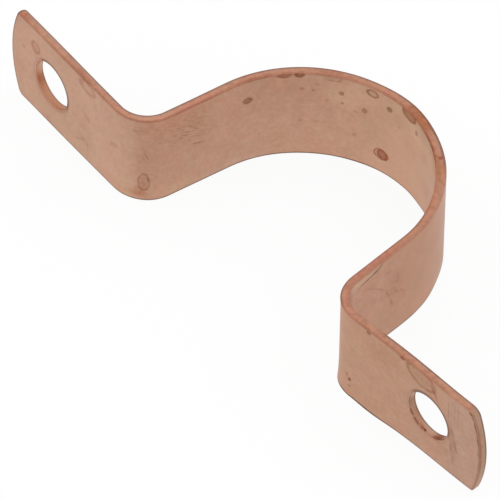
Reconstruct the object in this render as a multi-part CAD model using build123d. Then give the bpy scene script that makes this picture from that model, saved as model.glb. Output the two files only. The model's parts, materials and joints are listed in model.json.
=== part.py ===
from build123d import *
from math import sqrt
import os

# Two-hole saddle clip for copper pipe: one length of copper strip, cropped to round-nosed ends,
# punched for two screws and bent to a saddle with an ear on each side.
# Sizes are in millimetres and degrees. The origin is on the pipe's axis, which is Z, level with the
# lower edge of the strip. X runs along the ears, and Y points from the wall to the saddle's crown.

# Pipe and strip
pipe_diameter = 22.0
strip_width = 9.5
strip_thickness = 0.75

# Saddle, measured from its crown to each leg, and the straight legs that leave the pipe below it
saddle_half_angle = 83.5
leg_length = 6.0

# Ears, bent out of the legs and sprung off the wall, so that the screws draw the saddle tight
foot_bend_radius = 2.6
ear_lift = 3.8
bend_to_hole = 8.95
hole_to_tip = 6.0
hole_diameter = 4.5
tip_radius = 12.0
tip_corner_radius = 1.0

# Edges, softened all round and rolled in deeper where the punch entered each hole
edge_radius = 0.08
hole_roll_radius = 0.12

pipe_radius = pipe_diameter / 2
ear_length = bend_to_hole + hole_to_tip
mid_width = strip_width / 2


def plan_line(depth):
    """Saddle, right leg and right foot bend of the face this deep behind the pipe's surface."""
    saddle = CenterArc((0, 0), pipe_radius + depth, 90 - saddle_half_angle, 2 * saddle_half_angle)
    leg = Line(saddle @ 0, saddle @ 0 - leg_length * (saddle % 0))
    bend_radius = foot_bend_radius + strip_thickness - depth
    bend = JernArc(leg @ 1, leg % 1, bend_radius, saddle_half_angle + ear_lift)
    return saddle, leg, bend


def bent_strip():
    """Saddle, legs and foot bends, as their plan carried up the width of the strip."""
    inner_saddle, *inner_right = plan_line(0)
    outer_saddle, *outer_right = plan_line(strip_thickness)
    ear_root = Line(inner_right[-1] @ 1, outer_right[-1] @ 1)
    right = [*inner_right, *outer_right, ear_root]
    left = [mirror(edge, Plane.YZ) for edge in right]
    return extrude(make_face([inner_saddle, outer_saddle, *right, *left]), strip_width)


def right_ear():
    """Round-nosed ear with its screw hole, drawn on its wall side and given the strip's thickness."""
    bend = plan_line(0)[-1]
    along = bend % 1
    wall_side = Plane(bend @ 1, x_dir=along, z_dir=along.cross(Vector(0, 0, 1)))
    nose_start = ear_length - tip_radius + sqrt(tip_radius**2 - mid_width**2)
    nose = ThreePointArc((nose_start, 0), (ear_length, mid_width), (nose_start, strip_width))
    sides = Polyline((nose_start, strip_width), (0, strip_width), (0, 0), (nose_start, 0))
    outline = make_face([nose, *sides.edges()])
    outline = fillet(outline.vertices().group_by(Axis.X)[-1], tip_corner_radius)
    outline -= Pos(bend_to_hole, mid_width) * Circle(hole_diameter / 2)
    return extrude(wall_side * outline, -strip_thickness)


def soften_edges(strap):
    """Rounds the edges of the slit sides and cropped tips where they meet the faces of the strip."""
    slit_sides = strap.faces().filter_by(Plane.XY)
    round_cuts = strap.faces().filter_by(GeomType.CYLINDER)
    round_cuts = round_cuts.filter_by(lambda face: abs(face.axis_of_rotation.direction.Z) < 0.5)
    cuts = slit_sides + round_cuts
    faces = strap.faces().filter_by(lambda face: face not in cuts)
    cut_edges = faces.edges().filter_by(lambda edge: edge in cuts.edges())
    return fillet(cut_edges.filter_by(lambda edge: not edge.is_closed), edge_radius)


def roll_holes(strap):
    """Rolls in the rim of each hole on the wall side, where the punch entered. The far rim stays crisp."""
    rims = strap.edges().filter_by(lambda edge: edge.is_closed)
    return fillet(rims.group_by(Axis.Y)[0], hole_roll_radius)


ear = right_ear()
clip_strap = roll_holes(soften_edges(bent_strip() + ear + mirror(ear, Plane.YZ)))

os.makedirs("parts", exist_ok=True)
export_step(clip_strap, "parts/clip_strap.step")
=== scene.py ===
import json

import bmesh
import bpy
import numpy as np
from mathutils import Matrix, Vector


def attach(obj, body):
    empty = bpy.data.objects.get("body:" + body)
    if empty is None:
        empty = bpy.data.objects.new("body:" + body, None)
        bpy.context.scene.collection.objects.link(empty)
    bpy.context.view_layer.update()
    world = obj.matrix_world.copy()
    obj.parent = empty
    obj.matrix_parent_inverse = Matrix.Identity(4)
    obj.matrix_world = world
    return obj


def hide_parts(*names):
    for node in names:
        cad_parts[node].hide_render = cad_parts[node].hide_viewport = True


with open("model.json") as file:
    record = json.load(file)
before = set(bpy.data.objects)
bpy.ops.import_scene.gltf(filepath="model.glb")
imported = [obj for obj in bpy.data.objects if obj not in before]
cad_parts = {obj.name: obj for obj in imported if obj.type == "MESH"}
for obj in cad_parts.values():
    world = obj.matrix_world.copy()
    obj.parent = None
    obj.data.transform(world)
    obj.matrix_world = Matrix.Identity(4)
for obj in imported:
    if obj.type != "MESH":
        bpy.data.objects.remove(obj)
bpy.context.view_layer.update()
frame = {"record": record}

# Strip and its fold
# The clip is one length of mill-rolled copper strip, bent over a round former and then at two feet.
# Its surface is worked out on the flat blank in millimetres and folded: s runs along the strip from
# the crown, v across it from the lower edge, and w through it from the face that holds the pipe.
mounts = {mount["name"]: mount for mount in frame["record"]["mounts"]}
pipe_radius = mounts["pipe_seat"]["dims"]["r_mm"]
strip_width = mounts["pipe_seat"]["dims"]["length_mm"]
strip_thickness = mounts["right_screw_hole"]["dims"]["length_mm"]
saddle_half_angle = np.radians(83.5)
leg_length = 6.0
foot_bend_radius = 2.6
hole_axis = mounts["right_screw_hole"]["axis"]
ear_lift = np.arctan2(-hole_axis[0], hole_axis[1])

outer_bend_radius = foot_bend_radius + strip_thickness
bend_angle = saddle_half_angle + ear_lift
leg_start = pipe_radius * saddle_half_angle
bend_start = leg_start + leg_length
ear_start = bend_start + outer_bend_radius * bend_angle
bend_middle = (bend_start + ear_start) / 2

# Places where the lower edge was pushed off the clean fold, towards the pipe's side where the height is
# positive: the middle and half length along s, the height, and the reach up the strip.
edge_flares = [
    (-34.5, 8.0, 0.03, 1.0),
    (-bend_middle - 1.2, 2.5, -0.045, 1.0),
    (-8.3, 6.0, 0.11, 1.2),
    (-4.8, 3.0, 0.04, 1.2),
    (2.4, 1.8, 0.045, 1.0),
    (11.2, 2.6, 0.06, 1.5),
    (17.0, 2.8, -0.04, 1.0),
    (bend_middle + 0.5, 2.6, 0.12, 0.8),
    (ear_start + 2.2, 3.4, 0.115, 1.0),
]
# The right ear: how far its upper edge leans to the wall, and over which run from the bend, and how far
# its lower edge bows away from the wall.
ear_lean = 0.2
ear_lean_run = (4.0, 13.5)
ear_bow = 0.10
ear_bow_middle = 7.5
ear_bow_half_length = 5.5
# Burrs that the slitting knife squeezed out along the upper edge, on the outer face and on the pipe's:
# the middle and half length along s, and the height. They fade down the strip over their reach.
outer_burrs = [(-38.0, 9.0, 0.06), (-12.5, 8.5, 0.07), (0.2, 4.2, 0.14), (34.0, 7.0, 0.06)]
inner_burrs = [(6.5, 8.5, 0.20), (24.6, 2.2, 0.05)]
burr_reach = 0.3


def ramp(x, start, end):
    """Smooth step: 0 before start, 1 after end, and an S between them."""
    t = np.clip((x - start) / (end - start), 0, 1)
    return t * t * (3 - 2 * t)


def bending_marks(s, v):
    """How far the strip stands off its clean fold towards the outer face. In places the lower edge flares
    the other way, each by a smooth bump along s, given by its middle, half length and height, times an
    exponential that fades up the strip over its reach. On the right ear the upper edge leans to the wall
    towards the tip, and the lower edge bows away from it."""
    flare = sum(
        height * (1 - ramp(np.abs(s - middle), 0, half_length)) * np.exp(-v / reach)
        for middle, half_length, height, reach in edge_flares
    )
    along_ear = s - ear_start
    height = v / strip_width
    lean = ear_lean * height * ramp(along_ear, *ear_lean_run)
    bow = ear_bow * (1 - height) * (1 - ramp(np.abs(along_ear - ear_bow_middle), 0, ear_bow_half_length))
    return bow - lean - flare


def slit_burr(s, v, w):
    """What the slitting knife added to the depth w where it squeezed the upper edge thicker: smooth bumps
    along s on each face, given by their middle, half length and height, shared out through the thickness,
    times an exponential that fades down from the edge."""
    share = w / strip_thickness
    outer, inner = (
        sum(
            height * (1 - ramp(np.abs(s - middle), 0, half_length))
            for middle, half_length, height in burrs
        )
        for burrs in (outer_burrs, inner_burrs)
    )
    return (outer * share - inner * (1 - share)) * np.exp((v - strip_width) / burr_reach)


def fold(s, v, w):
    """Place of a blank point on the bent strip. The heading turns with the saddle's arc, holds along
    the leg, turns back round the foot bend and holds along the ear. The place is those four runs
    added up, plus the depth w along the normal to the heading."""
    run = np.abs(s)
    saddle_turn = np.clip(run / pipe_radius, 0, saddle_half_angle)
    leg_run = np.clip(run - leg_start, 0, leg_length)
    bend_turn = np.clip((run - bend_start) / outer_bend_radius, 0, bend_angle)
    ear_run = np.clip(run - ear_start, 0, None)
    heading = bend_turn - saddle_turn
    bend_heading = bend_turn - saddle_half_angle
    depth = w + bending_marks(s, v) + slit_burr(s, v, w)
    x = pipe_radius * np.sin(saddle_turn) + leg_run * np.cos(saddle_half_angle)
    x = x + outer_bend_radius * (np.sin(bend_heading) + np.sin(saddle_half_angle))
    x = x + ear_run * np.cos(ear_lift) - depth * np.sin(heading)
    y = pipe_radius * np.cos(saddle_turn) - leg_run * np.sin(saddle_half_angle)
    y = y + outer_bend_radius * (np.cos(saddle_half_angle) - np.cos(bend_heading))
    y = y + ear_run * np.sin(ear_lift) + depth * np.cos(heading)
    return np.stack([np.copysign(x, s), y, v], -1)


# Saddle, legs and foot bends
# The strip was slit from a wide coil, which leaves a sheared side with softened corners along each
# edge. Its section is one closed loop: pipe face, upper side, outer face and lower side.
edge_radius = 0.08
corner_steps = 4
side_steps = 4
grid_step = 0.2
bend_to_hole = 8.95
root_to_hole = 5.5
# Each rounded corner draws a line along the strip, which has faded out at its shoulder: painted shade along
# the rounded edges and the outlines, partly real edge tarnish. Its corner value is how strong it is: a
# reddish line up to the value of the reddish shade, and a darker one from there to 1.
edge_line_width = 0.06
shoulder = 0.14
reddish_edge_shade = 0.5
dark_edge_shade = 0.88
# On the right, the upper corner's painted shade is left off the outer face and drawn darker on the pipe's
# face, where that corner is the outline. Each stretch comes in between its first two places along s and
# goes out between its last two.
unshaded_leg = (6.2, 9.0, 29.6, 30.6)
dark_leg = (12.0, 13.5, 24.8, 26.0)

hole_place = ear_start + bend_to_hole
root_place = hole_place - root_to_hole
quarter = np.linspace(0, np.pi / 2, corner_steps + 1)
outer_corner_start = strip_thickness - edge_radius
side_depth = np.linspace(edge_radius, outer_corner_start - shoulder, side_steps)[1:]
side_depth = np.append(side_depth, outer_corner_start - edge_line_width)
rounding = edge_radius * (1 - np.cos(quarter))
profile_depth = np.concatenate([rounding, side_depth, strip_thickness - rounding[::-1]])
swell = edge_radius * np.sin(quarter)
profile_out = np.concatenate([swell, np.full(side_depth.size, edge_radius), swell[::-1]])
profile_corner = np.concatenate([0 * quarter + 1, 0 * side_depth[1:], [1], 0 * quarter + 1])
profile_cut = np.concatenate([quarter / quarter[-1], np.ones(side_depth.size), quarter[::-1] / quarter[-1]])
profile_run = np.cumsum(np.hypot(np.diff(profile_out, prepend=0), np.diff(profile_depth, prepend=0)))
side_girth = profile_run[-1]

flat_low, flat_high = edge_radius, strip_width - edge_radius
flat_steps = round((flat_high - flat_low) / grid_step)
inner_flat = np.linspace(flat_low + shoulder, flat_high - shoulder, flat_steps)
face_v = np.concatenate([[flat_low, flat_low + edge_line_width], inner_flat, [flat_high]])
face_corner = np.zeros(face_v.size)
face_corner[[0, 1, -1]] = 1, 1, reddish_edge_shade
upper_corner_line = np.where(profile_depth < strip_thickness / 2, reddish_edge_shade, dark_edge_shade) * profile_corner


def outer_girth(v):
    """Distance round the section from the lower edge, up the pipe face and over, to v on the outer face."""
    return 2 * flat_high + side_girth - v


def strip_grid():
    """Stations along s times the section's loop. Each row is the loop in v and w carried to its
    station, and the map is s against the distance round the loop."""
    stations = np.linspace(-root_place, root_place, round(2 * root_place / grid_step) + 1)
    v = np.concatenate([face_v, flat_high + profile_out[1:], face_v[-2::-1], flat_low - profile_out[1:]])
    w = np.concatenate([
        0 * face_v,
        profile_depth[1:],
        0 * face_v[1:] + strip_thickness,
        profile_depth[-2::-1],
    ])
    girth = np.concatenate([
        face_v,
        flat_high + profile_run[1:],
        outer_girth(face_v[-2::-1]),
        outer_girth(flat_low) + profile_run[1:],
    ])
    cut = np.concatenate([0 * face_v, profile_cut[1:], 0 * face_v[1:], profile_cut[1:]])
    corner = np.concatenate([face_corner, upper_corner_line[1:], face_corner[-2::-1], profile_corner[1:]])
    unshaded, dark = (ramp(stations, *leg[:2]) - ramp(stations, *leg[2:]) for leg in (unshaded_leg, dark_leg))
    upper = v > strip_width / 2
    outer = w > strip_thickness / 2
    corner = corner * (1 - unshaded[:, None] * (upper & outer))
    corner = corner * (1 + (dark_edge_shade / reddish_edge_shade - 1) * dark[:, None] * (upper & ~outer))
    s, v = np.meshgrid(stations, v, indexing="ij")
    w, girth, cut = (np.broadcast_to(x, s.shape) for x in (w, girth, cut))
    return {
        "place": fold(s, v, w),
        "map": np.stack([s, girth], -1),
        "finish": np.stack([cut, corner, 0 * s], -1),
        "depth": w,
    }


# Screw ears
# Each end was cropped to a round nose and punched for a screw from the wall side, so the hole's rim is
# rolled in there and crisp on the outer face. Worn tools left the ears a little unlike each other, and
# their painted edge shade differs as well: a value for each is keyed 1 for the right ear and -1 for the
# left.
hole_radius = mounts["right_screw_hole"]["dims"]["r_mm"]
mid_width = strip_width / 2
# The nose: its radius, the height and the reach of its furthest point, its lower and upper corner radius,
# the crop's burr at the upper corner, and how strong the painted shade line along its wall side is.
tip_radius = {1: 13.0, -1: 12.0}
tip_height = {1: 4.65, -1: 4.95}
hole_to_tip = {1: 6.04, -1: 5.80}
nose_corners = {1: (0.3, 1.0), -1: (0.65, 0.5)}
nose_burr = {1: 0.0, -1: 0.1}
nose_line = {1: 0.62, -1: 0.75}
# The hole: how far off its place it was punched, its rolled rim and its crisp exit, and the lines of
# painted shade that both draw. The rim's line is a dark painted shadow towards its shaded side, which is a
# bearing, and a softer reddish painted shade elsewhere.
hole_scatter = {1: (-0.05, 0.072), -1: (0.11, -0.025)}
hole_roll_radius = 0.09
exit_radius = 0.03
rim_line_width = 0.15
exit_line_width = 0.085
rim_line = {1: 0.3, -1: 0.7}
shaded_side = {1: np.radians(64), -1: np.radians(130)}
# Parts of the outline, by how far its outward normal points along s or v, and the shaded part of the rim,
# by the cosine of the angle to its shaded side. Each comes in between its two values.
upper_side = (0.6, 0.95)
nose_front = (0.1, 0.65)
burr_turn = (0.15, 0.6)
crest_out = (0.1, 0.4)
crest_up = (0.25, 0.5)
shaded_part = (0.05, 0.45)
# The mesh, whose seams merge within a distance in metres, and the hole's own place in the map.
nose_corner_steps = 12
face_rings = 18
rim_steps = 6
wall_steps = 5
root_blend = 0.5
merge_distance = 2e-6
hole_map_start = 20.0
hole_map_offset = 40.0


def wall_girth(depth):
    """Where a depth in the hole's wall lies in the map: past an offset that keeps it clear of the strip."""
    return hole_map_offset + depth


def nose_half(tip_place, tip_radius, tip_height, corner_radius):
    """Lower half of an ear's free edge, from the root to the furthest point of the nose: a straight side,
    the corner's arc and part of the nose's arc, all inset by the edge's rounding. Gives s, v and the
    bearing of the outward normal."""
    nose_centre = tip_place - tip_radius
    rise = tip_height - corner_radius
    run = np.sqrt((tip_radius - corner_radius) ** 2 - rise**2)
    corner_place = nose_centre + run
    side = np.linspace(root_place, corner_place, round((corner_place - root_place) / grid_step) + 1)[:-1]
    corner = np.linspace(-np.pi / 2, -np.arctan2(rise, run), nose_corner_steps)[:-1]
    nose = np.linspace(-np.arctan2(rise, run), 0, round(tip_height / grid_step) + 1)
    place_s = np.concatenate([
        side,
        corner_place + (corner_radius - edge_radius) * np.cos(corner),
        nose_centre + (tip_radius - edge_radius) * np.cos(nose),
    ])
    place_v = np.concatenate([
        0 * side + flat_low,
        corner_radius + (corner_radius - edge_radius) * np.sin(corner),
        tip_height + (tip_radius - edge_radius) * np.sin(nose),
    ])
    return place_s, place_v, np.concatenate([0 * side - np.pi / 2, corner, nose])


def ear_outline(hand):
    """Free edge of an ear, from its root along the lower side, round the nose and back along the upper
    side, as points and outward normals in (s, v). The upper half is a lower half turned over."""
    lower_corner, upper_corner = nose_corners[hand]
    tip = hole_place + hole_to_tip[hand], tip_radius[hand]
    lower_s, lower_v, lower_bearing = nose_half(*tip, tip_height[hand], lower_corner)
    upper_s, upper_v, upper_bearing = nose_half(*tip, strip_width - tip_height[hand], upper_corner)
    place_s = np.concatenate([lower_s, upper_s[-2::-1]])
    place_v = np.concatenate([lower_v, strip_width - upper_v[-2::-1]])
    bearing = np.concatenate([lower_bearing, -upper_bearing[-2::-1]])
    return np.stack([place_s, place_v], -1), np.stack([np.cos(bearing), np.sin(bearing)], -1)


def ear_grids(hand):
    """One ear, hand 1 for the right and -1 for the left: rings between the hole's rim and the outline on
    both faces, the rounded side carried along the free outline, and the hole's wall turned about its axis.
    The side's map runs on from the strip's upper side, out along the ear, round the nose and back."""
    free, normal = ear_outline(hand)
    root_v = face_v[-2:0:-1]
    root = np.stack([0 * root_v + root_place, root_v], -1)
    edge = np.concatenate([free, root, free[:1]])
    root_rise = np.clip(1 - (root_v - flat_low) / root_blend, 0, 1)
    root_rise = root_rise - np.clip(1 - (flat_high - root_v) / root_blend, 0, 1)
    root_inward = np.stack([0 * root_v + 1, root_rise], -1)
    inward = np.concatenate([[[1, 1]], -normal[1:-1], [[1, -1]], root_inward, [[1, 1]]])
    centre = np.array([hole_place, mid_width]) + hole_scatter[hand]
    bearing = np.arctan2(edge[:, 1] - centre[1], edge[:, 0] - centre[0])
    spoke = np.stack([np.cos(bearing), np.sin(bearing)], -1)
    upper = ramp(normal[:, 1], *upper_side)
    upper_fade = reddish_edge_shade * (1 - edge_line_width / shoulder)
    nose = ramp(normal[:, 0], *nose_front)
    rim_shade = ramp(np.cos(bearing - shaded_side[hand]), *shaded_part)
    soft_rim = reddish_edge_shade * rim_line[hand]
    rim_corner = soft_rim + (1 - soft_rim) * rim_shade

    def grid(sv, w, uv, finish):
        return {
            "place": fold(hand * sv[..., 0], sv[..., 1], w),
            "map": uv * [hand, 1],
            "finish": np.stack(finish, -1),
            "depth": np.broadcast_to(w, sv.shape[:2]),
        }

    # Wall face and outer face, from the rim of the hole to the outline
    grids = []
    rims = (0, hole_radius + hole_roll_radius), (strip_thickness, hole_radius + exit_radius)
    for w, rim_radius in rims:
        rim_rows = centre + (rim_radius + np.array([0, rim_line_width])[:, None, None]) * spoke
        rim = centre + (rim_radius + 2 * rim_line_width) * spoke
        share = np.linspace(0, 1, face_rings)[:, None, None]
        edge_rows = edge + np.array([edge_line_width, 0])[:, None, None] * inward
        sv = np.concatenate([rim_rows, rim + (edge + shoulder * inward - rim) * share, edge_rows])
        girth = sv[..., 1] if w == 0 else outer_girth(sv[..., 1])
        corner = np.zeros(sv.shape[:2])
        corner[:2] = rim_corner if w == 0 else 1
        line = 1 - np.array([1 - upper_fade, (1 - reddish_edge_shade) * (w == 0)])[:, None] * upper
        line = line * (1 - (1 - nose_line[hand]) * (w == 0) * nose)
        root_line = np.broadcast_to(face_corner[-2:0:-1], (2, len(root)))
        corner[-2:] = np.concatenate([line, root_line, line[:, :1]], 1)
        none = np.zeros(sv.shape[:2])
        grids.append(grid(sv, w, np.stack([sv[..., 0], girth], -1), (none, corner, none)))

    # Side along the free outline, swollen by the burr at the nose's upper corner
    upper_turn = ramp(normal[:, 0], *burr_turn) * ramp(normal[:, 1], *burr_turn)
    bulge = 1 - (2 * profile_depth[:, None] / strip_thickness - 1) ** 2
    out = profile_out[:, None] + nose_burr[hand] * bulge * upper_turn
    sv = free + normal * out[..., None]
    shape = sv.shape[:2]
    run = np.cumsum(np.hypot(*np.diff(free, axis=0, prepend=free[:1]).T))
    onward = root_place + run[-1] - run
    uv = np.stack(np.broadcast_arrays(onward, flat_high + profile_run[:, None]), -1)
    corner = profile_corner[:, None] + (upper_corner_line - profile_corner)[:, None] * upper
    pipe_side = profile_depth[:, None] < strip_thickness / 2
    corner = corner * (1 - (1 - nose_line[hand]) * pipe_side * nose)
    # The burr's crest draws the dark line of painted edge shade too.
    crest = (nose_burr[hand] > 0) * ramp(normal[:, 0], *crest_out) * ramp(normal[:, 1], *crest_up)
    corner = np.maximum(corner, dark_edge_shade * crest)
    cut = np.broadcast_to(profile_cut[:, None], shape)
    grids.append(grid(sv, profile_depth[:, None], uv, (cut, corner, nose * cut)))

    # Wall of the hole, from its rolled rim to its exit
    arc = np.linspace(0, np.pi / 2, rim_steps)
    exit_start = strip_thickness - exit_radius
    wall = np.linspace(hole_roll_radius, exit_start - 2 * exit_line_width, wall_steps)[1:]
    wall = np.append(wall, exit_start - exit_line_width)
    radius = np.concatenate([
        hole_radius + hole_roll_radius * (1 - np.sin(arc)),
        0 * wall + hole_radius,
        hole_radius + exit_radius * (1 - np.cos(arc)),
    ])
    depth = np.concatenate([
        hole_roll_radius * (1 - np.cos(arc)),
        wall,
        strip_thickness - exit_radius * (1 - np.sin(arc)),
    ])
    entry_corner = np.concatenate([0 * arc + 1, 0 * wall, 0 * arc])[:, None] * rim_corner
    exit_corner = np.concatenate([0 * arc, 0 * wall[1:], [1], 0 * arc + 1])[:, None]
    sv = centre + radius[:, None, None] * spoke
    shape = sv.shape[:2]
    turn = hole_radius * np.unwrap(bearing)
    uv = np.stack(np.broadcast_arrays(hole_map_start + turn, wall_girth(depth[:, None])), -1)
    cut = np.broadcast_to(ramp(depth, 0, hole_roll_radius)[:, None], shape)
    grids.append(grid(sv, depth[:, None], uv, (cut, entry_corner + exit_corner, cut)))
    return grids


def strap_mesh(name, grids):
    """All grids as one mesh in metres: four corners a cell, seams merged and faces turned outwards. The map
    goes to the corners, so that it can break at a seam, and the finish, with its painted edge shade, and
    the depth to the points."""
    cells, start = [], 0
    for grid in grids:
        rows, columns = grid["place"].shape[:2]
        number = start + np.arange(rows * columns).reshape(rows, columns)
        corners = [number[:-1, :-1], number[:-1, 1:], number[1:, 1:], number[1:, :-1]]
        cells.append(np.stack(corners, -1).reshape(-1, 4))
        start += rows * columns
    cells = np.concatenate(cells)
    place, blank, finish, depth = (
        np.concatenate([grid[key].reshape(-1, size) for grid in grids])
        for key, size in (("place", 3), ("map", 2), ("finish", 3), ("depth", 1))
    )
    mesh = bpy.data.meshes.new(name)
    mesh.from_pydata((place / 1000).tolist(), [], cells.tolist())
    mesh.uv_layers.new(name="blank").uv.foreach_set("vector", blank[cells].astype(np.float32).ravel())
    finishes = mesh.attributes.new("finish", "FLOAT_VECTOR", "POINT")
    finishes.data.foreach_set("vector", finish.astype(np.float32).ravel())
    depths = mesh.attributes.new("depth", "FLOAT", "POINT")
    depths.data.foreach_set("value", depth.astype(np.float32).ravel())
    shape = bmesh.new()
    shape.from_mesh(mesh)
    bmesh.ops.remove_doubles(shape, verts=shape.verts, dist=merge_distance)
    bmesh.ops.recalc_face_normals(shape, faces=shape.faces)
    shape.to_mesh(mesh)
    shape.free()
    mesh.shade_smooth()
    return mesh


strap = bpy.data.objects.new("strap", strap_mesh("strap", [strip_grid(), *ear_grids(1), *ear_grids(-1)]))
bpy.context.collection.objects.link(strap)
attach(strap, "root")
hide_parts("clip_strap")

# Copper and its marks
# Mill-rolled copper that was never polished or lacquered: a satin face with the rolls' grain along it,
# handled and rained on, so that drops left rings, runs and brown spots. Some of its colour is painted light
# and shade, said where it is laid. All marks lie in the map of the blank, at s and the distance round the
# section, which is v on the face that holds the pipe.

# Tone at places along s, on the pipe's face and on the outer face, and how even it is there. It is partly
# tarnish and partly painted reflection: paler on the left ear, which mirrors open floor, and darker in the
# saddle, on the legs and on the right ear, which mirror floor shaded by the clip and a dimmer side of the
# tent.
half_blank = 42.0
tone_rose = "#C89F87"
tone_pale = "#C79C82"
tone_middle = "#BE917A"
tone_brown = "#BF947B"
tone_bright = "#C6977B"
tone_grey = "#BA9681"
tone_shade = "#B98D76"
tone_dusk = "#BE9076"
inner_tone_and_reflection = [
    (-half_blank, tone_rose),
    (-25.3, tone_rose),
    (-24.4, tone_middle),
    (-9.0, tone_middle),
    (-1.0, tone_pale),
    (7.0, tone_pale),
    (11.0, tone_bright),
    (25.5, tone_bright),
    (27.5, tone_brown),
    (37.0, tone_brown),
    (39.0, tone_grey),
    (half_blank, tone_grey),
]
outer_tone_and_reflection = [
    (-half_blank, tone_middle),
    (-10.0, tone_pale),
    (12.0, tone_dusk),
    (17.0, tone_shade),
    (22.0, tone_shade),
    (26.0, tone_dusk),
    (half_blank, tone_middle),
]
evenness = [(-half_blank, 0.0), (-6.0, 0.0), (1.0, 0.7), (14.0, 0.7), (20.0, 0.0)]

# Patterns in millimetres, from drifts of oxide down to speckle. The rolls' grain is too fine for the
# photo's pixels, so it is drawn wide enough to show.
cloud_size = 5.0
hue_size = 2.6
mottle_size = 1.2
speckle_size = 0.4
scuff_length = 0.9
scuff_width = 0.17
scuff_turn = -27
grain_width = 0.12
grain_length = 7.0
grain_depth = 0.003
noise_detail = 2.0
# Outlines of wet marks wander over this size by up to this reach. The speckle thins a stain to this share
# of its strength between its two values.
warp_size = 0.8
warp_reach = 0.12
thin_speckle = (0.35, 0.6)
thinnest_stain = 0.75
# The satin's roughness drifts with the clouds between their two values, and a stain dulls it.
satin_clouds = (0.3, 0.7)
satin_roughness = (0.32, 0.42)
stain_dulling = 0.15

beige_cloud = "#BB9C80"
pink_cloud = "#C58D7A"
brown_mottle = "#A57C66"
pale_mottle = "#D3AD96"
grain_line = "#A67C66"
scuff_line = "#8A5638"
sheared_side = "#BF876F"
side_blush = "#CC7F6C"
side_streak = "#A06A50"
side_glow = "#D18A5E"
torn_side = "#B8968A"
cropped_nose = "#A88A72"
punched_wall = "#AE7E66"
# Painted shade along the rounded edges and outlines, partly edge tarnish: a reddish line and a dark grey
# one.
reddish_shade_line = "#94503A"
dark_shade_line = "#75645A"
edge_tint = "#F8EDE7"

# How strong a mark is at shares of its radius, from its middle to past its outline.
profiles = {
    "spot": ((0.0, 0.8), (0.5, 0.85), (0.8, 1.0), (1.35, 0.0)),
    "ring": ((0.0, 0.15), (0.6, 0.2), (0.86, 1.0), (1.0, 0.8), (1.25, 0.0)),
    "run": ((0.0, 0.15), (0.8, 0.2), (0.92, 1.0), (1.0, 0.8), (1.12, 0.0)),
    "stain": ((0.0, 0.75), (0.7, 0.8), (0.9, 1.0), (1.1, 0.0)),
    "stroke": ((0.0, 1.0), (0.6, 0.8), (1.3, 0.0)),
    "cloud": ((0.0, 1.0), (0.4, 0.75), (0.75, 0.25), (1.2, 0.0)),
}

# Each mark is its place (s, girth), half its length and width, its turn in degrees and its strength. On
# the wall of a hole the place is how far round it, and the girth of the depth.
# Casts are where the whole skin of the faces is painted a little paler, browner or warmer: tarnish in some
# places, and painted light and shade where so marked.
casts = [
    # Brown painted shade, darker towards the top of the left leg, and on the bends and by the crown
    ("#B27857", [
        (-21.3, 8.7, 4.6, 2.4, 0, 0.45),
        (-19.7, 6.6, 2.8, 1.8, -25, 0.3),
        (-11.5, 8.4, 2.8, 1.5, 0, 0.2),
        (30.8, 8.0, 2.6, 2.0, 0, 0.25),
        (10.2, outer_girth(8.6), 1.0, 1.6, 0, 0.3),
        (-6.0, outer_girth(3.0), 4.5, 2.4, 0, 0.3),
        (-24.4, outer_girth(5.0), 1.2, 4.0, 0, 0.3),
    ]),
    # Dull brown, where the ears and the right leg were rubbed
    ("#A5745E", [
        (17.6, outer_girth(5.6), 1.5, 2.4, 0, 0.35),
        (38.85, 3.9, 0.6, 2.7, 8, 0.6),
        (35.2, 8.75, 1.3, 0.55, -8, 0.4),
        (-24.25, 2.0, 0.55, 1.3, 0, 0.3),
        (37.8, 2.4, 1.1, 1.2, 0, 0.45),
    ]),
    # Olive, beside the left foot bend
    ("#B89A78", [
        (-25.7, 1.6, 0.8, 1.4, 0, 0.25),
    ]),
    # Pale grey painted light, along the left leg's lower edge
    ("#C9AE9E", [
        (-16.5, 0.35, 5.0, 0.6, 0, 0.45),
    ]),
    # Pale beige painted highlight, along the right leg's upper edge
    ("#C2AC90", [
        (21.6, outer_girth(9.05), 3.4, 0.45, 0, 0.7),
    ]),
    # Bright painted light, on the saddle, low on the left leg and on the outer faces
    ("#DCB898", [
        (3.0, 8.8, 5.5, 4.6, 0, 0.8),
        (-5.8, 7.4, 2.6, 2.4, 0, 0.35),
        (-20.6, 0.7, 2.6, 1.2, 0, 0.25),
        (-14.5, outer_girth(6.4), 4.0, 3.0, 0, 0.35),
        (4.0, outer_girth(6.0), 4.0, 3.0, 0, 0.3),
    ]),
    # Nearly white painted highlight, right of the crown
    ("#D9C3B0", [
        (3.6, 8.6, 2.4, 1.3, 0, 0.35),
    ]),
    # Warm, along the lower edge
    ("#C98E6A", [
        (-8.5, 0.4, 4.2, 0.9, 0, 0.2),
        (0.5, 0.4, 3.0, 1.0, 0, 0.2),
        (27.2, 0.4, 1.2, 0.8, 0, 0.5),
        (-27.0, 0.5, 2.0, 1.0, 0, 0.3),
    ]),
]
# Patches of fine scuffs, on the left leg and on the outside of the right one.
scuffed_places = [(-20.2, 6.9, 3.2, 2.3, -15, 0.8), (17.6, outer_girth(5.0), 1.2, 2.2, 0, 0.35)]
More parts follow.
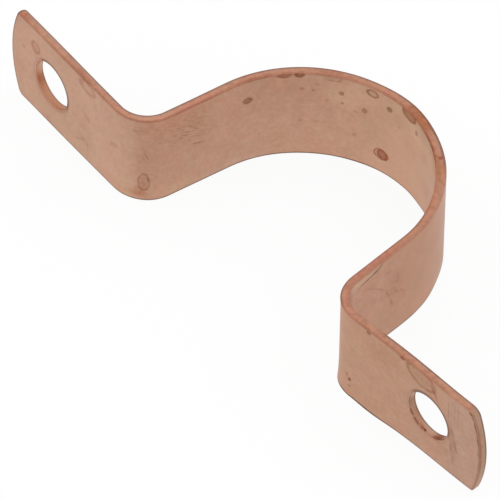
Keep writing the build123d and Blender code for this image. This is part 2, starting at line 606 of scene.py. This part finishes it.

# Each kind of stain, and each painted highlight, light and shadow line among them, has a colour, a profile
# and how it lies. Wet marks keep the wandering outlines of what dried there, over an edge or on the face
# alone, and scratches run straight.
stains_and_painted_light = [
    # Painted light over the wall of the left hole, lifting its shade
    ("#D29C7E", "cloud", "wet", [
        (-18.0, wall_girth(0.4), 6.0, 1.2, 0, 0.7),
    ]),
    # Pale gleams on the walls of both holes
    ("#DDB9A4", "cloud", "wet", [
        (-20.4, wall_girth(0.4), 1.4, 1.0, 0, 0.6),
        (16.6, wall_girth(0.45), 2.2, 0.5, 0, 0.5),
    ]),
    # Orange on the left hole's wall, the left nose and the upper side
    ("#C9744A", "cloud", "wet", [
        (-19.0, wall_girth(0.26), 1.9, 0.15, 0, 0.6),
        (-16.0, wall_girth(0.30), 1.5, 0.16, 0, 0.5),
        (-40.45, 9.68, 0.13, 0.10, 0, 0.8),
        (1.8, 9.74, 0.7, 0.3, 0, 0.35),
    ]),
    # A silvery painted highlight on the right hole's wall, and a grey film beside it
    ("#D8CCC4", "cloud", "wet", [
        (26.1, wall_girth(0.3), 0.75, 0.45, 0, 0.7),
    ]),
    ("#8C7C70", "cloud", "wet", [
        (27.5, wall_girth(0.35), 1.0, 0.6, 0, 0.5),
    ]),
    # Films along the upper side, from ochre and grey to brown and pink, and a painted highlight
    ("#967038", "cloud", "wet", [
        (7.9, 9.70, 2.2, 0.24, 0, 0.6),
    ]),
    ("#BA9A8C", "cloud", "wet", [
        (-35.5, 10.08, 9.5, 0.24, 0, 0.6),
    ]),
    # Pale: a painted highlight along the upper side by the left foot bend, and a fainter one out on the
    # left ear
    ("#D3A488", "cloud", "wet", [
        (-23.0, 9.74, 6.5, 0.2, 0, 0.5),
        (-35.0, 9.74, 3.0, 0.2, 0, 0.3),
    ]),
    ("#A66E54", "cloud", "wet", [
        (-32.2, 9.7, 2.4, 0.5, 0, 0.4),
        (-7.2, 9.9, 2.0, 0.45, 0, 0.5),
    ]),
    ("#AE755B", "cloud", "wet", [
        (20.0, 10.1, 14.0, 0.32, 0, 0.8),
    ]),
    ("#BC7466", "cloud", "wet", [
        (20.5, 9.76, 5.5, 0.6, 0, 0.35),
        (-20.0, 9.55, 5.0, 0.25, 0, 0.4),
        (6.5, 9.48, 4.5, 0.14, 0, 0.8),
    ]),
    # Rings where drops dried
    ("#96542C", "ring", "wet", [
        (-38.4, 7.45, 0.58, 0.64, 0, 0.5),
        (-30.98, 8.82, 1.10, 0.62, 0, 0.4),
        (-40.45, 9.68, 0.22, 0.17, 0, 0.7),
        (-9.0, outer_girth(5.8), 0.60, 0.66, 0, 0.4),
    ]),
    ("#E6CDBA", "ring", "wet", [
        (39.85, 3.85, 0.38, 0.42, 0, 0.18),
    ]),
    ("#6F3F0A", "ring", "wet", [
        (-3.5, 8.82, 0.56, 0.40, -3, 0.65),
    ]),
    # Outlines of larger drops and of runs from the edge
    ("#8A4E22", "run", "wet", [
        (-24.25, 2.25, 0.52, 0.98, 0, 0.55),
        (-2.55, 2.14, 0.69, 0.56, 0, 0.85),
        (-34.0, outer_girth(8.7), 1.2, 0.9, 8, 0.4),
        (3.0, outer_girth(8.9), 1.5, 0.8, 0, 0.4),
    ]),
    ("#8A4E22", "run", "face", [
        (35.14, 8.80, 1.72, 0.94, -11, 0.6),
    ]),
    # Spots: a large one on the left, drops that hung along the crown's edge, and specks all over
    ("#7E4410", "spot", "wet", [
        (-14.33, 7.2, 0.43, 0.31, 0, 0.66),
    ]),
    ("#743A10", "spot", "face", [
        (-11.15, 9.38, 0.60, 0.34, -4, 0.66),
        (-9.85, 9.36, 0.40, 0.32, 0, 0.8),
        (-7.05, 9.42, 0.95, 0.46, 0, 0.16),
    ]),
    ("#763A14", "spot", "wet", [
        (-9.72, 7.65, 0.18, 0.15, 0, 0.4),
        (-8.72, 7.55, 0.14, 0.13, 0, 0.35),
        (-6.35, 7.62, 0.20, 0.20, 0, 0.55),
        (-6.25, 6.48, 0.14, 0.14, 0, 0.45),
        (-7.55, 6.5, 0.14, 0.18, 0, 0.2),
        (-4.25, 6.4, 0.25, 0.24, 0, 0.55),
        (-5.0, 5.95, 0.18, 0.14, 0, 0.2),
        (-1.75, 8.0, 0.29, 0.27, 0, 0.65),
        (1.65, 7.9, 0.20, 0.30, -10, 0.45),
        (-5.1, 3.15, 0.15, 0.18, 0, 0.25),
        (-9.8, 3.95, 0.20, 0.22, 0, 0.2),
        (-8.4, 3.9, 0.18, 0.14, 0, 0.12),
        (-0.65, 6.7, 0.15, 0.09, 45, 0.3),
        (-13.2, 2.85, 0.14, 0.14, 0, 0.2),
        (-40.15, 6.2, 0.18, 0.18, 0, 0.25),
        (-27.3, 5.12, 0.55, 0.22, 25, 0.22),
        (-31.7, 8.85, 0.16, 0.13, 0, 0.3),
        (-8.36, 8.32, 0.16, 0.14, 0, 0.2),
        (-13.36, 7.32, 0.14, 0.12, 0, 0.15),
        (-11.64, 5.96, 0.14, 0.12, 0, 0.12),
        (-24.9, 8.25, 0.30, 0.15, 0, 0.2),
        (-24.35, 2.0, 0.25, 0.30, 0, 0.1),
        (-23.85, 2.5, 0.10, 0.35, 0, 0.3),
        (-24.6, 1.5, 0.25, 0.18, 30, 0.15),
        (29.05, 9.25, 0.24, 0.18, 0, 0.55),
        (27.0, 2.05, 0.15, 0.17, 0, 0.95),
        (26.65, 2.4, 0.17, 0.15, 0, 0.4),
        (27.0, 1.3, 0.14, 0.13, 0, 0.5),
        (-3.2, outer_girth(3.1), 0.22, 0.20, 0, 0.5),
        (-5.6, outer_girth(7.2), 0.16, 0.16, 0, 0.4),
        (6.1, outer_girth(5.2), 0.20, 0.24, 0, 0.45),
        (-15.5, outer_girth(2.2), 0.24, 0.20, 0, 0.45),
        (-30.2, outer_girth(2.6), 0.20, 0.20, 0, 0.4),
        (-38.9, outer_girth(3.4), 0.16, 0.18, 0, 0.35),
        (33.0, outer_girth(2.0), 0.20, 0.18, 0, 0.35),
    ]),
    # Red-brown stains with darker rims
    ("#8A3610", "stain", "wet", [
        (-2.35, 2.16, 0.60, 0.58, 0, 0.8),
        (32.95, 9.32, 0.28, 0.16, 0, 0.9),
        (-12.6, outer_girth(7.9), 0.50, 0.42, 0, 0.6),
        (6.33, 9.92, 0.17, 0.15, 0, 0.9),
        (17.45, wall_girth(0.2), 0.5, 0.22, 0, 0.45),
        (17.8, wall_girth(0.3), 0.3, 0.14, 0, 0.45),
    ]),
    # Nearly black specks at the right nose and on the right hole's wall
    ("#6A2A0C", "spot", "wet", [
        (40.96, 9.24, 0.20, 0.17, 0, 0.95),
        (14.95, wall_girth(0.06), 0.36, 0.09, 0, 0.55),
        (15.7, wall_girth(0.14), 0.17, 0.12, 0, 0.48),
        (16.0, wall_girth(0.2), 0.12, 0.09, 0, 0.95),
        (28.2, wall_girth(0.07), 0.26, 0.1, 0, 0.7),
    ]),
    # Soft brown round other marks
    ("#A25A34", "cloud", "wet", [
        (15.6, wall_girth(0.25), 0.7, 0.25, 0, 0.35),
        (-24.75, 0.85, 1.1, 0.7, 0, 0.55),
        (2.6, 9.72, 1.1, 0.34, 0, 0.4),
        (-38.4, 7.45, 0.6, 0.65, 0, 0.15),
    ]),
    # The long stain right of the crown, on the face and on the upper side, and its dark outline
    ("#A25A2E", "stain", "face", [
        (0.65, 9.22, 0.92, 0.74, 0, 0.7),
    ]),
    ("#9C5E36", "stain", "wet", [
        (1.6, 9.85, 1.6, 0.42, 0, 0.42),
        (1.3, 9.8, 0.55, 0.42, 0, 0.62),
    ]),
    ("#5A3A14", "run", "face", [
        (0.62, 9.2, 0.94, 0.76, 0, 0.38),
    ]),
    # Ochre bloom in the saddle's large stain
    ("#A4681E", "cloud", "wet", [
        (-1.88, 2.25, 0.25, 0.35, 0, 0.5),
    ]),
    # Painted shadow line inside the right nose, along its edge on the wall side, and a gouge on the outside
    # of the right leg
    ("#4E2410", "stroke", "scratch", [
        (41.18, 8.85, 0.10, 0.35, 30, 0.7),
        (41.47, 8.0, 0.085, 0.75, 15, 0.75),
        (41.76, 6.6, 0.085, 0.80, 9, 0.6),
        (41.90, 5.1, 0.09, 0.80, 2, 0.4),
        (41.89, 3.6, 0.10, 0.80, -5, 0.25),
        (41.72, 2.2, 0.10, 0.70, -11, 0.2),
        (20.66, outer_girth(8.78), 1.25, 0.09, 11, 0.7),
        (19.95, outer_girth(8.92), 0.45, 0.15, 11, 0.7),
    ]),
    # Dark grey painted shade along the lower edge, where the face meets the floor
    ("#5E4A3E", "stroke", "scratch", [
        (28.4, 0.14, 2.6, 0.13, 0, 0.85),
        (26.2, 0.12, 0.9, 0.16, 0, 0.7),
        (32.0, 0.12, 1.8, 0.08, 0, 0.4),
        (-4.6, 0.12, 1.5, 0.08, 0, 0.4),
    ]),
    # Scratches and scrapes
    ("#7E4626", "stroke", "scratch", [
        (6.0, 9.58, 0.32, 0.10, 40, 0.7),
        (19.4, outer_girth(9.17), 0.40, 0.13, 18, 0.45),
        (-24.03, 5.35, 0.07, 0.50, 18, 0.35),
        (-24.25, 5.05, 0.05, 0.30, 20, 0.3),
        (-19.1, 4.8, 0.60, 0.10, -17, 0.45),
        (-32.1, 1.85, 1.05, 0.12, 34, 0.2),
        (-31.0, 1.7, 0.10, 0.75, 8, 0.15),
        (-31.25, 5.3, 0.10, 0.35, 20, 0.3),
        (-30.85, 5.1, 0.10, 0.40, 15, 0.3),
        (36.65, 8.35, 1.05, 0.08, -58, 0.65),
        (38.87, 5.2, 0.11, 0.70, 21, 0.45),
        (39.25, 3.8, 0.13, 0.75, 13, 0.42),
        (38.73, 3.15, 0.14, 0.55, 7, 0.4),
        (38.95, 2.05, 0.15, 0.60, 4, 0.28),
        (38.4, 7.6, 0.05, 1.3, 2, 0.35),
        (38.75, 7.9, 0.04, 1.1, 0, 0.3),
        (39.1, 7.5, 0.05, 1.3, -2, 0.3),
        (39.55, 7.8, 0.05, 1.1, 0, 0.35),
        (40.0, 7.4, 0.04, 1.2, 1, 0.25),
        (-7.05, 8.93, 0.75, 0.06, 0, 0.5),
        (-6.45, 9.15, 0.25, 0.06, 50, 0.45),
        (-32.2, 9.46, 1.9, 0.12, 0, 0.2),
        (-24.4, 9.46, 1.6, 0.12, 0, 0.25),
        (4.9, 9.48, 2.1, 0.16, 0, 0.68),
        (-13.5, 9.62, 4.0, 0.10, 0, 0.22),
        (20.56, outer_girth(7.34), 0.70, 0.11, -34, 0.25),
        (19.38, outer_girth(6.4), 0.85, 0.13, -42, 0.3),
        (18.42, outer_girth(5.1), 0.85, 0.13, -66, 0.3),
        (17.92, outer_girth(3.75), 0.60, 0.15, -74, 0.38),
        (18.5, outer_girth(7.6), 0.45, 0.22, 20, 0.2),
        (17.2, outer_girth(6.0), 0.15, 0.75, 0, 0.2),
        (-20.4, outer_girth(6.2), 0.9, 0.08, 24, 0.4),
        (-19.6, outer_girth(5.5), 0.7, 0.07, 18, 0.35),
        (2.2, outer_girth(2.4), 1.1, 0.07, -12, 0.35),
        (-36.5, outer_girth(7.9), 0.05, 1.0, 4, 0.35),
        (38.9, outer_girth(6.9), 0.05, 1.1, -3, 0.3),
        (17.3, outer_girth(4.6), 0.5, 0.12, -55, 0.2),
        (16.6, outer_girth(4.2), 0.5, 0.12, -50, 0.18),
    ]),
]


def linear(hex_colour):
    """Linear colour of an sRGB hex value."""
    channels = np.array([int(hex_colour[i : i + 2], 16) for i in (1, 3, 5)]) / 255
    curve = np.where(channels <= 0.04045, channels / 12.92, ((channels + 0.055) / 1.055) ** 2.4)
    return (*curve, 1.0)


def add(tree, kind, inputs=None, stops=(), **settings):
    """Adds a node to a tree. An input is a value, or an output socket that is linked to it. Stops are
    the places and colours of a colour ramp, from 0 to 1."""
    node = tree.nodes.new(kind)
    for name, value in settings.items():
        setattr(node, name, value)
    for name, value in (inputs or {}).items():
        if isinstance(value, bpy.types.NodeSocket):
            tree.links.new(value, node.inputs[name])
        else:
            node.inputs[name].default_value = value
    for place, _ in stops[1:-1]:
        node.color_ramp.elements.new(place)
    for element, (place, colour) in zip(node.color_ramp.elements if stops else (), stops):
        element.position = place
        element.color = colour
    return node


def mark_group(name, profile):
    """One mark as a node group: how strong it is at a point of the blank, or the strength given from the
    marks below it where that is more. Its size is the ellipse at which its gradient ends, and the profile
    gives the strength at shares of its radius, where 1 is the mark's own outline. The gradient counts
    inwards, from 0 at the profile's reach to 1 at the middle."""
    group = bpy.data.node_groups.new(name, "ShaderNodeTree")
    sockets = {
        "Flat": "Vector",
        "Place": "Vector",
        "Turn": "Vector",
        "Size": "Vector",
        "Strength": "Float",
        "Below": "Float",
    }
    for socket, kind in sockets.items():
        group.interface.new_socket(socket, in_out="INPUT", socket_type="NodeSocket" + kind)
    group.interface.new_socket("Mask", in_out="OUTPUT", socket_type="NodeSocketFloat")
    given = add(group, "NodeGroupInput").outputs
    near = add(
        group,
        "ShaderNodeMapping",
        {
            "Vector": given["Flat"],
            "Location": given["Place"],
            "Rotation": given["Turn"],
            "Scale": given["Size"],
        },
        vector_type="TEXTURE",
    ).outputs[0]
    inside = add(group, "ShaderNodeTexGradient", {"Vector": near}, gradient_type="SPHERICAL").outputs["Fac"]
    reach = profile[-1][0]
    stops = [(1 - x / reach, (1, 1, 1, y)) for x, y in profile[::-1]]
    fade = add(group, "ShaderNodeValToRGB", {"Fac": inside}, stops).outputs["Alpha"]
    mark = add(group, "ShaderNodeMath", {0: fade, 1: given["Strength"]}, operation="MULTIPLY").outputs[0]
    mask = add(group, "ShaderNodeMath", {0: mark, 1: given["Below"]}, operation="MAXIMUM").outputs[0]
    add(group, "NodeGroupOutput", {"Mask": mask})
    return group


groups = {name: mark_group(name, profile) for name, profile in profiles.items()}


def mark_mask(tree, flat, profile, places):
    """Strength of one kind of mark, the largest over its places."""
    reach = profiles[profile][-1][0]
    total = 0.0
    for s, girth, half_s, half_v, turn, strength in places:
        total = add(
            tree,
            "ShaderNodeGroup",
            {
                "Flat": flat,
                "Place": (s, girth, 0),
                "Turn": (0, 0, np.radians(turn)),
                "Size": (reach * half_s, reach * half_v, 1),
                "Strength": strength,
                "Below": total,
            },
            node_tree=groups[profile],
        ).outputs["Mask"]
    return total


copper = bpy.data.materials.new("mill_rolled_copper")
copper.use_nodes = True
tree = copper.node_tree
tree.nodes.clear()
blank = add(tree, "ShaderNodeUVMap", uv_map="blank").outputs["UV"]
along, girth, _ = add(tree, "ShaderNodeSeparateXYZ", {"Vector": blank}).outputs
finish = add(tree, "ShaderNodeAttribute", attribute_name="finish").outputs["Vector"]
cut, corner, end_cut = add(tree, "ShaderNodeSeparateXYZ", {"Vector": finish}).outputs
depth = add(tree, "ShaderNodeAttribute", attribute_name="depth").outputs["Fac"]
metres = add(tree, "ShaderNodeTexCoord").outputs["Object"]
body = add(tree, "ShaderNodeVectorMath", {0: metres, "Scale": 1000.0}, operation="SCALE").outputs[0]

# Tone of the two faces, partly tarnish and partly painted reflection, blended over the cut side between
# them.
place = add(
    tree, "ShaderNodeMapRange", {"Value": along, "From Min": -half_blank, "From Max": half_blank}
).outputs[0]
inner, outer = (
    add(
        tree,
        "ShaderNodeValToRGB",
        {"Fac": place},
        [(0.5 + 0.5 * s / half_blank, linear(tone)) for s, tone in tones],
    ).outputs[0]
    for tones in (inner_tone_and_reflection, outer_tone_and_reflection)
)
outside = add(
    tree,
    "ShaderNodeMapRange",
    {"Value": girth, "From Min": flat_high, "From Max": flat_high + side_girth},
).outputs[0]
coat = add(tree, "ShaderNodeMix", {0: outside, 6: inner, 7: outer}, data_type="RGBA").outputs[2]

# Drifts of beige and pink oxide, the grain of the rolls, and what the shears and the punch left.
clouds, hues, mottle, speckle = (
    add(tree, "ShaderNodeTexNoise", {"Vector": body, "Scale": 1 / size, "Detail": noise_detail})
    for size in (cloud_size, hue_size, mottle_size, speckle_size)
)
mottle_hue, speckle_hue = (
    add(tree, "ShaderNodeSeparateColor", {"Color": noise.outputs["Color"]}).outputs["Green"]
    for noise in (mottle, speckle)
)
clouds, hues, mottle, speckle = (noise.outputs[0] for noise in (clouds, hues, mottle, speckle))
lively = add(
    tree,
    "ShaderNodeValToRGB",
    {"Fac": place},
    [(0.5 + 0.5 * s / half_blank, (1, 1, 1, 1 - even)) for s, even in evenness],
).outputs["Alpha"]
stretched = add(
    tree,
    "ShaderNodeVectorMath",
    {0: blank, 1: (1 / grain_length, 1 / grain_width, 0)},
    operation="MULTIPLY",
).outputs[0]
grain = add(
    tree,
    "ShaderNodeTexNoise",
    {"Vector": stretched, "Scale": 1.0, "Detail": noise_detail},
).outputs[0]
hole_wall = add(
    tree,
    "ShaderNodeMapRange",
    {"Value": girth, "From Min": hole_map_offset - 1, "From Max": hole_map_offset},
).outputs[0]
scuffs = add(
    tree,
    "ShaderNodeMapping",
    {"Vector": blank, "Rotation": (0, 0, np.radians(scuff_turn)), "Scale": (scuff_length, scuff_width, 1)},
    vector_type="TEXTURE",
).outputs[0]
scuffs = add(
    tree,
    "ShaderNodeTexNoise",
    {"Vector": scuffs, "Scale": 1.0, "Detail": noise_detail},
).outputs[0]
for colour, places in casts:
    mask = mark_mask(tree, blank, "cloud", places)
    coat = add(tree, "ShaderNodeMix", {0: mask, 6: coat, 7: linear(colour)}, data_type="RGBA").outputs[2]
scuffed = mark_mask(tree, blank, "cloud", scuffed_places)

# Each layer lays a colour over those before it: what drives it, the two values of that between which it
# comes in, its full strength, and what keeps it to one part of the surface.
layers = [
    (beige_cloud, clouds, (0.45, 0.7), 0.35, None),
    (pink_cloud, hues, (0.5, 0.75), 0.4, None),
    (scuff_line, scuffs, (0.5, 0.68), 1.0, scuffed),
    (sheared_side, cut, (0.0, 1.0), 1.0, None),
    (torn_side, depth, (0.3, 0.7), 0.6, cut),
    (side_blush, hues, (0.5, 0.7), 0.45, cut),
    (side_glow, speckle, (0.5, 0.3), 0.4, cut),
    (side_streak, speckle, (0.5, 0.7), 0.4, cut),
    (side_streak, mottle, (0.5, 0.75), 0.35, cut),
    (cropped_nose, end_cut, (0.0, 1.0), 0.9, None),
    (punched_wall, end_cut, (0.0, 1.0), 1.0, hole_wall),
    (brown_mottle, mottle, (0.5, 0.75), 0.17, lively),
    (pale_mottle, mottle, (0.5, 0.25), 0.17, lively),
    (brown_mottle, speckle, (0.5, 0.75), 0.24, lively),
    (pale_mottle, speckle, (0.5, 0.25), 0.24, lively),
    (beige_cloud, mottle_hue, (0.5, 0.7), 0.16, lively),
    (pink_cloud, mottle_hue, (0.5, 0.3), 0.16, lively),
    (beige_cloud, speckle_hue, (0.5, 0.7), 0.16, lively),
    (pink_cloud, speckle_hue, (0.5, 0.3), 0.16, lively),
    (grain_line, grain, (0.5, 0.8), 0.12, None),
    # Painted shade along the rounded edges and outlines, partly edge tarnish: reddish where the corner
    # value is low, dark grey where it is high.
    (reddish_shade_line, corner, (0.0, 0.5), 0.7, clouds),
    (dark_shade_line, corner, (0.5, 1.0), 0.8, None),
]
for colour, source, (low, high), strength, within in layers:
    mask = add(
        tree,
        "ShaderNodeMapRange",
        {"Value": source, "From Min": low, "From Max": high, "To Max": strength},
    ).outputs[0]
    if within:
        mask = add(tree, "ShaderNodeMath", {0: mask, 1: within}, operation="MULTIPLY").outputs[0]
    coat = add(tree, "ShaderNodeMix", {0: mask, 6: coat, 7: linear(colour)}, data_type="RGBA").outputs[2]

# Stains and painted light and shade, with outlines that wander a little and strength that is never quite
# even.
warp = add(
    tree,
    "ShaderNodeTexNoise",
    {"Vector": blank, "Scale": 1 / warp_size, "Detail": noise_detail},
).outputs["Color"]
centred = add(tree, "ShaderNodeVectorMath", {0: warp, 1: (0.5, 0.5, 0.5)}, operation="SUBTRACT").outputs[0]
drift = add(
    tree,
    "ShaderNodeVectorMath",
    {0: centred, 1: (2 * warp_reach, 2 * warp_reach, 0)},
    operation="MULTIPLY",
).outputs[0]
wandering = add(tree, "ShaderNodeVectorMath", {0: blank, 1: drift}, operation="ADD").outputs[0]
patchy = add(
    tree,
    "ShaderNodeMapRange",
    {
        "Value": speckle,
        "From Min": thin_speckle[0],
        "From Max": thin_speckle[1],
        "To Min": thinnest_stain,
    },
).outputs[0]
stains_and_painted_light_mask = 0.0
uncut = add(tree, "ShaderNodeMath", {0: patchy, 1: cut}, operation="SUBTRACT", use_clamp=True).outputs[0]
for colour, profile, lie, places in stains_and_painted_light:
    mask = mark_mask(tree, blank if lie == "scratch" else wandering, profile, places)
    share = uncut if lie == "face" else patchy
    mask = add(tree, "ShaderNodeMath", {0: mask, 1: share}, operation="MULTIPLY").outputs[0]
    coat = add(tree, "ShaderNodeMix", {0: mask, 6: coat, 7: linear(colour)}, data_type="RGBA").outputs[2]
    stains_and_painted_light_mask = add(tree, "ShaderNodeMath", {0: mask, 1: stains_and_painted_light_mask}, operation="MAXIMUM").outputs[0]

# Satin metal, duller under the stains and the painted light and shade laid with them, with the grain as a
# fine relief.
satin = add(
    tree,
    "ShaderNodeMapRange",
    {
        "Value": clouds,
        "From Min": satin_clouds[0],
        "From Max": satin_clouds[1],
        "To Min": satin_roughness[0],
        "To Max": satin_roughness[1],
    },
).outputs[0]
dulled = add(
    tree,
    "ShaderNodeMath",
    {0: stains_and_painted_light_mask, 1: stain_dulling, 2: satin},
    operation="MULTIPLY_ADD",
).outputs[0]
rolled = add(
    tree,
    "ShaderNodeBump",
    {"Height": grain, "Strength": 1.0, "Distance": grain_depth / 1000},
).outputs[0]
shader = add(
    tree,
    "ShaderNodeBsdfPrincipled",
    {
        "Base Color": coat,
        "Metallic": 1.0,
        "Roughness": dulled,
        "Specular Tint": linear(edge_tint),
        "Normal": rolled,
    },
)
add(tree, "ShaderNodeOutputMaterial", {"Surface": shader.outputs["BSDF"]})
strap.data.materials.append(copper)

# Studio floor
# A sheet of matt white paper lies under the clip, a hair below its lower edge and large enough to fill
# every view, in metres. It keeps a share of the clip's shadow, and the copper mirrors it as plain white.
paper_white = "#FFFFFF"
floor_half = 1.0
floor_drop = 0.00001
shadow_share = 0.08
corners = floor_half * np.array([[-1, -1, 0], [1, -1, 0], [1, 1, 0], [-1, 1, 0]]) - [0, 0, floor_drop]
floor_sheet = bpy.data.meshes.new("floor")
floor_sheet.from_pydata(corners.tolist(), [], [[0, 1, 2, 3]])
floor = bpy.data.objects.new("floor", floor_sheet)
bpy.context.collection.objects.link(floor)

paper = bpy.data.materials.new("matt_white_paper")
paper.use_nodes = True
paper.node_tree.nodes.clear()
tree = paper.node_tree
ray = add(tree, "ShaderNodeLightPath")
seen = add(
    tree,
    "ShaderNodeMath",
    {0: ray.outputs["Is Camera Ray"], 1: 1 - shadow_share},
    operation="MULTIPLY",
)
mirrored = add(
    tree,
    "ShaderNodeMath",
    {0: ray.outputs["Is Glossy Ray"], 1: ray.outputs["Is Transmission Ray"]},
    operation="MAXIMUM",
)
glow = add(
    tree,
    "ShaderNodeMath",
    {0: seen.outputs[0], 1: mirrored.outputs[0]},
    operation="MAXIMUM",
)
matt = add(tree, "ShaderNodeBsdfDiffuse", {"Color": linear(paper_white)})
white = add(tree, "ShaderNodeEmission", {"Color": linear(paper_white), "Strength": 1.0})
both = add(
    tree,
    "ShaderNodeMixShader",
    {0: glow.outputs[0], 1: matt.outputs[0], 2: white.outputs[0]},
)
add(tree, "ShaderNodeOutputMaterial", {"Surface": both.outputs[0]})
floor_sheet.materials.append(paper)

# Light tent
# White cloth stands round the clip and over it, lit evenly from outside, so that the copper has no hard
# lights and its colours show about as they are written.
cloth_white = "#FFFFFF"
world = bpy.data.worlds.new("light_tent")
bpy.context.scene.world = world
world.use_nodes = True
world.node_tree.nodes.clear()
cloth = add(world.node_tree, "ShaderNodeBackground", {"Color": linear(cloth_white), "Strength": 1.0})
add(world.node_tree, "ShaderNodeOutputWorld", {"Surface": cloth.outputs[0]})

# Camera
# A long lens looks down into the saddle from the wall side, to the right. Its bearing, its distance and
# its target in millimetres were fitted to the outline in the photo, as was its focal length in pixels.
azimuth, elevation, roll = np.radians([49.28, 46.99, 0.94])
camera_distance = 721.8
camera_target = np.array([0.769, -6.339, 4.75])
image_size = 500
focal_pixels = 8780.3
film_width = 36.0
back = np.array([
    np.sin(azimuth) * np.cos(elevation),
    -np.cos(azimuth) * np.cos(elevation),
    np.sin(elevation),
])
level = np.array([np.cos(azimuth), np.sin(azimuth), 0])
upright = np.cross(back, level)
across = np.cos(roll) * level + np.sin(roll) * upright
upward = np.cos(roll) * upright - np.sin(roll) * level
lens = bpy.data.cameras.new("camera")
lens.sensor_width = film_width
lens.lens = film_width * focal_pixels / image_size
camera = bpy.data.objects.new("camera", lens)
bpy.context.collection.objects.link(camera)
turned = Matrix(np.stack([across, upward, back], -1).tolist()).to_4x4()
camera.matrix_world = Matrix.Translation(Vector((camera_target + back * camera_distance) / 1000)) @ turned
bpy.context.scene.camera = camera
bpy.context.scene.view_settings.view_transform = "Standard"
